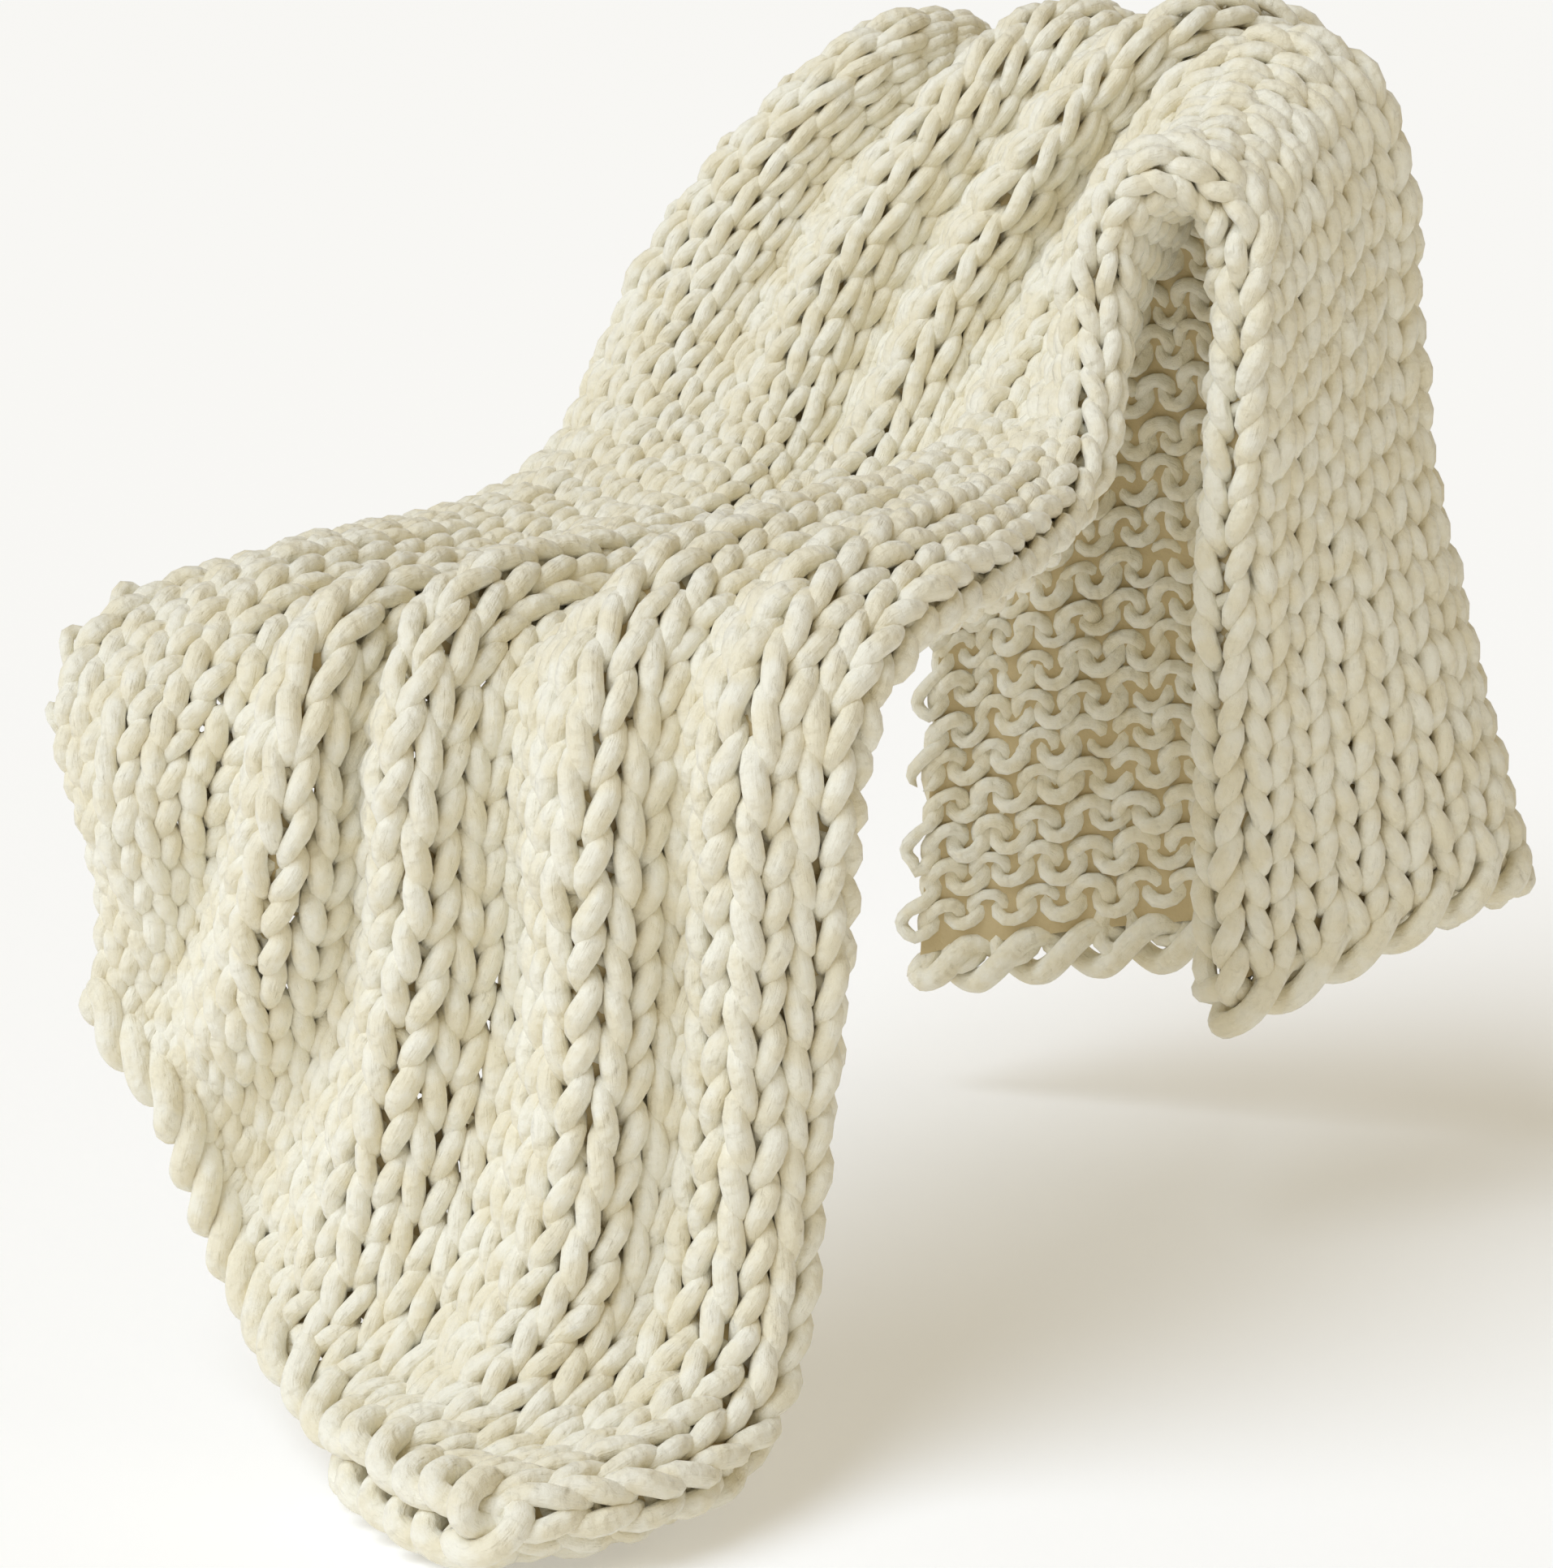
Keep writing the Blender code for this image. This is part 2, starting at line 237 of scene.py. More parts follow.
@dataclass
class Drape:
    """How the throw lies over the chair.

    The routes are measured from the floor under the middle of the seat's front edge. Lengths
    are in metres.

    Attributes:
        seat_rest: The place on the seat that carries the throw, which is the row's origin.
        turn_radius: Radius of the turn at the right, at the middle of the cloth.
        hem_share: Share of the length taken by each hem's edge.
        across_steps: Steps of the cloth's net across its whole width.
        along_steps: Steps of the net along its length.
        guide_samples: Points at which a guide wale is measured.
        guide_stiffness: How evenly a guide wale bends, as a power of the distance between
            its points.
        shown_samples: Places across the part that shows at which the drape is worked out.
        strip_reach: How far across the shown part the turned-under strip can lie.
        turn_steps: Steps round the turn at the right.
        settling: How far the courses settle at each guide wale, as a share of the length.
        settling_places: Places along, from the front hem, that build_up is given for.
        build_up: Share of that settling at those places.
        stations: Places along, from the front hem, that the folds are given for.
        guides: Guide wales by their place across the part that shows. Each has the courses in
            front of the seat's front edge, the number of the point on that edge, and the route
            from the front hem over the seat, the back or the arm, and down to the rear hem.
        folds: Folds that run along the wales. Each has its place across and its height at each
            station, and its half width as a share of the part that shows.
    """

    seat_rest: Point = (-0.0386, 0.1657, 0.447)
    turn_radius: float = 0.0125
    hem_share: float = 0.012
    across_steps: int = 252
    along_steps: int = 528
    guide_samples: int = 500
    guide_stiffness: float = 0.75
    shown_samples: int = 121
    strip_reach: float = 0.5
    turn_steps: int = 8
    settling: tuple[float, ...] = (-0.010, 0.022, 0.042, 0.046, 0.018)
    settling_places: tuple[float, ...] = (0.0, 0.12, 0.25, 0.34, 0.46, 0.70, 1.0)
    build_up: tuple[float, ...] = (0.0, 0.48, 0.93, 1.0, 0.86, 0.45, 0.0)
    stations: tuple[float, ...] = (0.0, 0.12, 0.25, 0.40, 0.55, 0.70, 0.82, 1.0)
    guides: dict[float, Guide] = field(default_factory=lambda: {
        0.00: (10, 6, [
            (-0.220, -0.086, 0.242), (-0.219, -0.070, 0.262), (-0.218, -0.063, 0.300),
            (-0.224, -0.061, 0.335), (-0.236, -0.062, 0.370), (-0.246, -0.054, 0.411),
            (-0.238, -0.018, 0.448), (-0.192, 0.080, 0.458), (-0.154, 0.190, 0.457),
            (-0.126, 0.290, 0.459), (-0.106, 0.372, 0.485), (-0.086, 0.405, 0.550),
            (-0.048, 0.430, 0.625), (0.010, 0.455, 0.695), (0.055, 0.490, 0.728),
            (0.080, 0.550, 0.705), (0.075, 0.590, 0.590), (0.060, 0.605, 0.430),
            (0.045, 0.615, 0.260), (0.030, 0.630, 0.070),
        ]),
        0.25: (16, 5, [
            (-0.163, -0.096, 0.168), (-0.160, -0.078, 0.188), (-0.150, -0.068, 0.245),
            (-0.140, -0.070, 0.320), (-0.120, -0.070, 0.400), (-0.100, -0.035, 0.455),
            (-0.050, 0.060, 0.460), (0.000, 0.160, 0.458), (0.030, 0.260, 0.461),
            (0.035, 0.350, 0.495), (0.045, 0.400, 0.565), (0.080, 0.430, 0.645),
            (0.130, 0.460, 0.710), (0.165, 0.500, 0.732), (0.185, 0.560, 0.690),
            (0.185, 0.600, 0.570), (0.180, 0.615, 0.430), (0.170, 0.625, 0.280),
            (0.160, 0.635, 0.100),
        ]),
        0.50: (19.5, 6, [
            (-0.108, -0.112, 0.076), (-0.100, -0.094, 0.098), (-0.076, -0.085, 0.152),
            (-0.042, -0.080, 0.225), (-0.018, -0.075, 0.312), (-0.005, -0.070, 0.400),
            (0.010, -0.030, 0.464), (0.050, 0.060, 0.474), (0.090, 0.160, 0.476),
            (0.115, 0.260, 0.480), (0.125, 0.345, 0.505), (0.145, 0.395, 0.575),
            (0.183, 0.424, 0.655), (0.222, 0.450, 0.710), (0.268, 0.490, 0.734),
            (0.308, 0.538, 0.716), (0.330, 0.574, 0.655), (0.338, 0.592, 0.560),
            (0.342, 0.605, 0.430),
            (0.348, 0.620, 0.300), (0.355, 0.630, 0.145),
        ]),
        0.75: (21, 6, [
            (-0.022, -0.192, 0.048), (0.025, -0.158, 0.060), (0.065, -0.122, 0.120),
            (0.090, -0.095, 0.205), (0.105, -0.080, 0.310), (0.112, -0.070, 0.395),
            (0.120, -0.046, 0.460), (0.138, 0.004, 0.492), (0.160, 0.065, 0.502),
            (0.184, 0.140, 0.503),
            (0.200, 0.235, 0.505), (0.206, 0.335, 0.530), (0.218, 0.394, 0.595),
            (0.252, 0.420, 0.668), (0.286, 0.436, 0.711), (0.328, 0.454, 0.715),
            (0.356, 0.470, 0.672), (0.366, 0.480, 0.580), (0.378, 0.488, 0.475),
            (0.412, 0.508, 0.350),
            (0.452, 0.533, 0.212),
        ]),
        1.00: (22.5, 8, [
            (0.085, -0.270, 0.047), (0.140, -0.230, 0.047), (0.180, -0.170, 0.047),
            (0.194, -0.110, 0.062), (0.198, -0.072, 0.120), (0.204, -0.060, 0.215),
            (0.210, -0.061, 0.320), (0.214, -0.060, 0.405), (0.224, -0.038, 0.468),
            (0.238, 0.012, 0.498), (0.250, 0.080, 0.504), (0.252, 0.165, 0.505),
            (0.247, 0.250, 0.517),
            (0.234, 0.318, 0.566), (0.231, 0.341, 0.628), (0.247, 0.355, 0.672),
            (0.282, 0.364, 0.690), (0.318, 0.368, 0.673), (0.333, 0.368, 0.628),
            (0.332, 0.364, 0.500), (0.329, 0.364, 0.360), (0.332, 0.370, 0.160),
        ]),
    })
    folds: dict[str, Fold] = field(default_factory=lambda: {
        "left_roll": (
            (0.11, 0.11, 0.08, 0.07, 0.04, 0.05, 0.07, 0.06),
            (0.0048, 0.0144, 0.0120, 0.0072, 0.0150, 0.0210, 0.0130, 0.0040), 0.045,
        ),
        "corner_crease": (
            (0.08, 0.22, 0.2, 0.14, 0.16, 0.18, 0.18, 0.18),
            (-0.0048, -0.0192, -0.0216, -0.0036, -0.0120, -0.0210, -0.0104, 0.0020), 0.038,
        ),
        "corner_ridge": (
            (0.2, 0.33, 0.305, 0.22, 0.245, 0.26, 0.25, 0.24),
            (0.0096, 0.0240, 0.0264, 0.0108, 0.0150, 0.0120, 0.0052, 0.0020), 0.040,
        ),
        "corner_valley": (
            (0.4, 0.42, 0.38, 0.32, 0.37, 0.37, 0.37, 0.36),
            (-0.0048, -0.0168, -0.0216, -0.0072, -0.0150, -0.0150, -0.0078, 0.0000), 0.036,
        ),
        "long_ridge": (
            (0.58, 0.54, 0.46, 0.41, 0.46, 0.48, 0.47, 0.44),
            (0.0072, 0.0216, 0.0288, 0.0216, 0.0195, 0.0240, 0.0182, 0.0100), 0.036,
        ),
        "broad_valley": (
            (0.72, 0.66, 0.58, 0.53, 0.56, 0.57, 0.56, 0.54),
            (-0.0048, -0.0156, -0.0216, -0.0126, -0.0135, -0.0150, -0.0104, -0.0060), 0.048,
        ),
        "right_ridge": (
            (0.82, 0.76, 0.7, 0.67, 0.66, 0.65, 0.65, 0.66),
            (0.0072, 0.0180, 0.0264, 0.0198, 0.0135, 0.0150, 0.0104, 0.0040), 0.044,
        ),
        "arm_valley": (
            (0.89, 0.86, 0.81, 0.79, 0.78, 0.75, 0.75, 0.78),
            (-0.0048, -0.0132, -0.0180, -0.0036, 0.0000, 0.0000, 0.0000, 0.0000), 0.038,
        ),
        "arm_ridge": (
            (0.96, 0.95, 0.9, 0.89, 0.88, 0.86, 0.87, 0.9),
            (0.0048, 0.0108, 0.0180, 0.0162, 0.0060, 0.0030, 0.0013, 0.0000), 0.042,
        ),
    })

    def guide_wale(
        self, edge_courses: float, edge_point: int, route: list[Point], along: np.ndarray
    ) -> np.ndarray:
        """Points of one guide wale.

        Args:
            edge_courses: Courses in front of the seat's front edge.
            edge_point: Number of the route's point on that edge.
            route: Points from the front hem to the rear hem.
            along: Shares of the length, counted in courses.

        Returns:
            A point for each share.
        """
        points = np.array(route)
        chords = np.linalg.norm(np.diff(points, axis=0), axis=1)
        knots = np.concatenate([[0.0], np.cumsum(chords**self.guide_stiffness)])
        fine = np.linspace(0.0, knots[-1], self.guide_samples)
        run = running_length(smooth_curve(knots, points, fine))
        edge_run = np.interp(knots[edge_point], fine, run)
        edge_share = edge_courses / COURSES
        drop_rate = edge_run / edge_share
        rest_rate = (run[-1] - edge_run) / (1 - edge_share)
        edge_rate = 2 * drop_rate * rest_rate / (drop_rate + rest_rate)
        shares = np.array([0.0, edge_share, 1.0])
        runs = np.array([0.0, edge_run, run[-1]])
        rates = np.array([drop_rate, edge_rate, rest_rate])
        part = (along >= edge_share).astype(int)
        width = np.diff(shares)[part]
        t = (along - shares[part]) / width
        wanted = (
            (1 + 2 * t) * (1 - t) ** 2 * runs[part]
            + t * (1 - t) ** 2 * width * rates[part]
            + t**2 * (3 - 2 * t) * runs[part + 1]
            + t**2 * (t - 1) * width * rates[part + 1]
        )
        return smooth_curve(knots, points, np.interp(wanted, run, fine))

    def fold_heights(self, across: np.ndarray, along: np.ndarray) -> np.ndarray:
        """How far the folds lift or sink the cloth.

        Args:
            across: Shares of the width that shows.
            along: Shares of the length.

        Returns:
            Heights in metres, for each place across and along.
        """
        lift = np.zeros((len(across), len(along)))
        for places, heights, half_width in self.folds.values():
            centre = smooth_curve(self.stations, places, along)
            height = smooth_curve(self.stations, heights, along)
            off_centre = (across[:, None] - centre[None]) / half_width
            lift += height[None] * np.exp(-(off_centre**2) / 2)
        return lift

    def strip_depths(self, base: np.ndarray, lift: np.ndarray) -> np.ndarray:
        """How far under the base the turned-under strip lies, to stay clear of every fold.

        Args:
            base: The cloth that shows, without its folds.
            lift: How far the folds lift or sink it.

        Returns:
            Depths in metres, below nought, for each place across and along.
        """
        reach = 2 * self.turn_radius
        run = running_length(base)
        apart = np.abs(run[:, None] - run[None])
        below = np.sqrt(np.clip(reach**2 - apart**2, 0.0, None)) - lift[None]
        deepest = np.where(apart < reach, below, 0.0).max(axis=1)
        return -np.maximum(deepest, reach)

    def settle(self, net: np.ndarray, along: np.ndarray) -> np.ndarray:
        """Let the weight of the drop draw its courses apart.

        Args:
            net: Points with evenly counted courses.
            along: Shares of the length.

        Returns:
            The same surface, with its courses moved along the wales.
        """
        wale = np.linspace(0.0, WALES, len(net))
        place = np.where(wale <= WALES_SHOWN, wale, 2 * WALES_SHOWN - wale) / WALES_SHOWN
        amount = smooth_curve(sorted(self.guides), self.settling, place)
        grown = smooth_curve(self.settling_places, self.build_up, along)
        settled = np.zeros_like(net)
        for i, row in enumerate(net):
            goal = along + amount[i] * grown
            for axis in range(3):
                settled[i, :, axis] = np.interp(goal, along, row[:, axis])
        return settled

    def solve(self) -> ClothNet:
        """Work out the whole cloth: what shows, the turn at the right, and the strip under.

        Returns:
            The middle of the cloth, in the row frame.
        """
        along = np.linspace(0.0, 1.0, self.along_steps + 1)
        across = np.linspace(0.0, 1.0, self.shown_samples)
        places = sorted(self.guides)
        routes = np.array([self.guide_wale(*self.guides[place], along) for place in places])
        base = smooth_curve(places, routes, across)
        upward = face_normals(base)
        lift = self.fold_heights(across, along)
        shown = base + upward * lift[..., None]

        outward = np.gradient(shown, axis=0)[-1]
        outward /= np.linalg.norm(outward, axis=1, keepdims=True)
        edge_up = face_normals(shown)[-1]
        centre = shown[-1] - edge_up * self.turn_radius
        angles = np.linspace(0.0, np.pi, self.turn_steps + 1)[1:, None, None]
        turn = centre + self.turn_radius * (edge_up * np.cos(angles) + outward * np.sin(angles))
        sunk = self.strip_depths(base, lift)[..., None]
        strip = (base + upward * sunk)[across >= self.strip_reach][::-1]
        rows = np.concatenate([shown, turn, strip[1:]], axis=0)

        net = np.zeros((self.across_steps + 1, len(along), 3))
        whole = 1 + WALES_UNDER / WALES_SHOWN
        runs = running_length(rows)
        shown_lengths = runs[len(across) - 1]
        for j in range(len(along)):
            length = min(shown_lengths[j] * whole, runs[-1, j])
            goal = np.linspace(0.0, length, self.across_steps + 1)
            for axis in range(3):
                net[:, j, axis] = np.interp(goal, runs[:, j], rows[:, j, axis])
        net = self.settle(net, along) - np.array(self.seat_rest)
        pitches = np.linalg.norm(np.gradient(net, axis=0), axis=2) * self.across_steps / WALES
        return ClothNet(net, face_normals(net), pitches, self.hem_share)


# ---- stitches ----


@dataclass(frozen=True)
class StockingStitch:
    """One loop of the knit, drawn out over its wale and course.

    Attributes:
        lean: How far the legs lean from the wale, in wales.
        reach: Half of a loop's height, in courses.
        depth: How far the legs stand out and the heads lie back, in metres.
        plump: How much thicker the legs are than the places between leg and head.
        points: Points along the yarn for each stitch.
        full_pitch: Width of a wale at which the yarn is as thick as it is round, in metres.
    """

    lean: float = 0.205
    reach: float = 0.91
    depth: float = 0.0060
    plump: float = 0.25
    points: int = 20
    full_pitch: float = 0.029

    def course(self, course: int, rng: np.random.Generator) -> dict[str, np.ndarray]:
        """One course of loops, from the left edge to the right.

        Args:
            course: Number of the course, from the cast-on.
            rng: Source of the small differences between hand-made stitches.

        Returns:
            Wale, course, height over the cloth, and thickness, along the yarn.
        """
        turn = np.arange(WALES * self.points + 1) / self.points
        angle = FULL_TURN * turn

        def uneven(amount: float, per_stitch: int = 2) -> np.ndarray:
            """Smooth differences made by hand.

            Args:
                amount: Their usual size.
                per_stitch: Changes in each stitch.

            Returns:
                A difference for each point along the yarn.
            """
            knots = np.arange(WALES * per_stitch + 1) / per_stitch
            bumps = rng.normal(0.0, amount, len(knots))
            return smooth_curve(knots, bumps, turn)

        return {
            "wale": turn + self.lean * np.sin(2 * angle) + uneven(0.036),
            "course": course + 0.5 - self.reach * np.cos(angle) + uneven(0.050),
            "height": -self.depth * np.cos(2 * angle) + uneven(0.0011),
            "thick": 1 - self.plump * np.cos(2 * angle) + uneven(0.070) + uneven(0.045, 7),
        }


class Twist(Enum):
    """Which way the two strands of a hem's edge lean on the knit side."""

    RISING = 1
    FALLING = -1


@dataclass(frozen=True)
class TwistedEdge:
    """A hem's edge: two strands of the yarn laid round each other along the last course.

    Attributes:
        course: Where the edge runs, in courses from the cast-on.
        twist: Which way the strands lean.
        swing: How far each strand swings along the wales, in courses.
        rise: How far each strand swings through the cloth, in metres.
        wales_per_turn: Wales that one strand takes for a whole turn.
        thick: Thickness of a strand, as a share of the yarn's.
        overhang: How far each strand passes the side edges, in wales.
        points: Points along each strand for each wale.
    """

    course: float
    twist: Twist
    swing: float = 0.50
    rise: float = 0.0072
    wales_per_turn: float = 2.4
    thick: float = 1.5
    overhang: float = 0.15
    points: int = 10

    def strand(self, number: int, net: ClothNet) -> YarnPath:
        """One of the two strands, which lies flat where it ends.

        Args:
            number: Which strand, 0 or 1.
            net: The cloth that it lies along.

        Returns:
            Its path and its thickness.
        """
        first, last = -self.overhang, WALES + self.overhang
        wale = np.linspace(first, last, WALES * self.points + 1)
        angle = FULL_TURN * wale / self.wales_per_turn + np.pi * number
        reach = np.clip(np.minimum(wale - first, last - wale), 0.0, 1.0)
        course = self.course + reach * self.twist.value * self.swing * np.cos(angle)
        points = net.place(wale, course, self.rise * np.sin(angle))
        return points, tapered(np.full(len(wale), self.thick))


def tapered(thick: np.ndarray, over: int = 3) -> np.ndarray:
    """Draw in both ends of a yarn to a point.

    Args:
        thick: Thickness along the yarn.
        over: Points over which each end is drawn in.

    Returns:
        The new thickness along the yarn.
    """
    step = np.arange(len(thick))
    ends = np.minimum(step, step[::-1])
    return thick * np.sqrt(np.clip(ends / over, 0.0, 1.0))


@dataclass
class SkeinOfYarn:
    """One skein: a continuous yarn that runs to and fro through its courses.

    Attributes:
        number: Its number, from the cast-on.
        net: The cloth that it lies in.
        stitch: The shape of its stitches.
        edges: The hem edges that are made of this skein.
        radius: Radius of the yarn, in metres.
        sides: Sides of the yarn's round section.
        bulge: How far the yarn swings out where it turns at a side edge, in wales.
        turn_rise: How far it rises there, as a share of the stitch's depth.
        turn_points: Points in each of those turns.
        crush: How fast the yarn thins as its wales are drawn in, as a power of their width.
        crush_limits: Its least and greatest thickness then, as shares of its own.
    """

    number: int
    net: ClothNet
    stitch: StockingStitch
    edges: tuple[TwistedEdge, ...] = ()
    radius: float = 0.0057
    sides: int = 10
    bulge: float = 0.34
    turn_rise: float = 1.2
    turn_points: int = 5
    crush: float = 0.6
    crush_limits: tuple[float, float] = (0.76, 1.06)

    def side_turn(
        self, start: dict[str, float], wale: float, outward: float
    ) -> dict[str, np.ndarray]:
        """The yarn's turn at a side edge, between one course and the next.

        Args:
            start: Course and height where the turn begins.
            wale: The side edge.
            outward: Which way is out: -1 at the left, 1 at the right.

        Returns:
            Wale, course, height and thickness along the turn.
        """
        share = np.linspace(0.0, 1.0, self.turn_points + 2)[1:-1]
        out = np.sin(np.pi * share)
        return {
            "wale": wale + outward * self.bulge * out,
            "course": start["course"] + share,
            "height": start["height"] + self.turn_rise * self.stitch.depth * out,
            "thick": np.full(len(share), 1 - self.stitch.plump),
        }

    def main_path(self) -> YarnPath:
        """The yarn through all of the skein's courses.

        Returns:
            Its path and its thickness.
        """
        rng = np.random.default_rng(self.number)
        parts: list[dict[str, np.ndarray]] = []
        first = (self.number - 1) * COURSES_PER_SKEIN
        for course in range(first, first + COURSES_PER_SKEIN):
            row = self.stitch.course(course, rng)
            if course % 2:
                row = {name: values[::-1] for name, values in row.items()}
            if course > 0:
                at_left = course % 2 == 0
                start = {
                    "course": course - 0.5 - self.stitch.reach,
                    "height": -self.stitch.depth,
                }
                wale, outward = (0.0, -1.0) if at_left else (float(WALES), 1.0)
                parts.append(self.side_turn(start, wale, outward))
            parts.append(row)
        yarn = {name: np.concatenate([part[name] for part in parts]) for name in parts[0]}
        points = self.net.place(yarn["wale"], yarn["course"], yarn["height"])
        pitch = self.net.read(self.net.pitches, yarn["wale"], yarn["course"])
        squeeze = np.clip((pitch / self.stitch.full_pitch) ** self.crush, *self.crush_limits)
        return points, tapered(yarn["thick"] * squeeze)

    def build(self, yarn: bpy.types.Material) -> bpy.types.Object:
        """Make the skein's mesh and put it on the throw.

        Args:
            yarn: The yarn's material.

        Returns:
            The finished piece, in place of the skein's solid.
        """
        paths = [self.main_path()]
        for edge in self.edges:
            paths += [edge.strand(number, self.net) for number in (0, 1)]
        name = f"knitted_skein_{self.number}"
        piece = YarnOnPath(self.radius, self.sides).sweep(name, paths, yarn)
        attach(piece, BODY)
        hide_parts(f"yarn_skein_{self.number}")
        return piece


@dataclass
class YarnOnPath:
    """Geometry Nodes that draw a round yarn along paths.

    Attributes:
        radius: Radius of the yarn, in metres.
        sides: Sides of its round section.
        uv_name: Name of the yarn's own UV map: metres along, and share of the way round.
        weld: Distance at which the section's first and last points are joined, in metres.
    """

    radius: float
    sides: int
    uv_name: str = "yarn_uv"
    weld: float = 2e-6

    def node_group(self) -> bpy.types.NodeTree:
        """The node group, made once and used by every skein.

        Returns:
            A tree with the path, the yarn's radius, its sides and its material as inputs.
        """
        name = "yarn_on_path"
        if name in bpy.data.node_groups:
            return bpy.data.node_groups[name]
        tree = bpy.data.node_groups.new(name, "GeometryNodeTree")
        for label, in_out, kind in (
            ("Geometry", "INPUT", "NodeSocketGeometry"),
            ("Yarn Radius", "INPUT", "NodeSocketFloat"),
            ("Sides", "INPUT", "NodeSocketInt"),
            ("Yarn", "INPUT", "NodeSocketMaterial"),
            ("Geometry", "OUTPUT", "NodeSocketGeometry"),
        ):
            tree.interface.new_socket(name=label, in_out=in_out, socket_type=kind)
        given = add_node(tree, "NodeGroupInput").outputs
        thick = add_node(
            tree, "GeometryNodeInputNamedAttribute", {"data_type": "FLOAT"}, Name="thick"
        )
        radius = add_node(
            tree, "ShaderNodeMath", {"operation": "MULTIPLY"},
            i0=given["Yarn Radius"], i1=thick.outputs[0],
        )
        path = add_node(tree, "GeometryNodeMeshToCurve", Mesh=given["Geometry"])
        points_round = add_node(
            tree, "ShaderNodeMath", {"operation": "ADD"}, i0=given["Sides"], i1=1.0
        )
        section = add_node(
            tree, "GeometryNodeCurveArc", {"mode": "RADIUS"},
            Resolution=points_round.outputs[0], Radius=1.0,
            Start_Angle=0.0, Sweep_Angle=FULL_TURN,
        )
        walked = add_node(tree, "GeometryNodeSplineParameter")
        kept_path = add_node(tree, "GeometryNodeCaptureAttribute", Geometry=path.outputs[0])
        kept_path.capture_items.new("FLOAT", "Length")
        tree.links.new(walked.outputs["Length"], kept_path.inputs[1])
        kept_round = add_node(
            tree, "GeometryNodeCaptureAttribute", Geometry=section.outputs[0]
        )
        kept_round.capture_items.new("FLOAT", "Around")
        tree.links.new(walked.outputs["Factor"], kept_round.inputs[1])
        tube = add_node(
            tree, "GeometryNodeCurveToMesh",
            Curve=kept_path.outputs[0], Profile_Curve=kept_round.outputs[0],
            Scale=radius.outputs[0],
        )
        place = add_node(
            tree, "ShaderNodeCombineXYZ", X=kept_path.outputs[1], Y=kept_round.outputs[1]
        )
        tube = add_node(
            tree, "GeometryNodeStoreNamedAttribute",
            {"data_type": "FLOAT2", "domain": "CORNER"},
            Geometry=tube.outputs[0], Name=self.uv_name, Value=place.outputs[0],
        )
        tube = add_node(
            tree, "GeometryNodeMergeByDistance", Geometry=tube.outputs[0], Distance=self.weld
        )
        tube = add_node(tree, "GeometryNodeSetShadeSmooth", Geometry=tube.outputs[0])
        tube = add_node(tree, "GeometryNodeRealizeInstances", Geometry=tube.outputs[0])
        tube = add_node(
            tree, "GeometryNodeSetMaterial", Geometry=tube.outputs[0], Material=given["Yarn"]
        )
        add_node(tree, "NodeGroupOutput", Geometry=tube.outputs[0])
        return tree

    def sweep(
        self, name: str, paths: list[YarnPath], yarn: bpy.types.Material
    ) -> bpy.types.Object:
        """Draw yarn along paths and give back a plain mesh object.

        Args:
            name: Name of the piece.
            paths: Points and thicknesses of each path.
            yarn: The yarn's material.

        Returns:
            The new piece, at the origin.
        """
        points = np.concatenate([path for path, _ in paths])
        thick = np.concatenate([values for _, values in paths])
        edges: list[tuple[int, int]] = []
        first = 0
        for path, _ in paths:
            edges += [(i, i + 1) for i in range(first, first + len(path) - 1)]
            first += len(path)
        mesh = bpy.data.meshes.new(f"{name}_path")
        mesh.from_pydata(points.tolist(), edges, [])
        attribute = mesh.attributes.new("thick", "FLOAT", "POINT")
        attribute.data.foreach_set("value", thick.astype(np.float32))
        maker = bpy.data.objects.new(f"{name}_path", mesh)
        bpy.context.scene.collection.objects.link(maker)
        tree = self.node_group()
        modifier = maker.modifiers.new("yarn", "NODES")
        modifier.node_group = tree
        values = {"Yarn Radius": self.radius, "Sides": self.sides, "Yarn": yarn}
        for item in tree.interface.items_tree:
            if item.name in values:
                modifier[item.identifier] = values[item.name]
        shown = maker.evaluated_get(bpy.context.evaluated_depsgraph_get())
        result = bpy.data.meshes.new_from_object(shown)
        result.name = name
        bpy.data.objects.remove(maker)
        bpy.data.meshes.remove(mesh)
        piece = bpy.data.objects.new(name, result)
        bpy.context.scene.collection.objects.link(piece)
        return piece


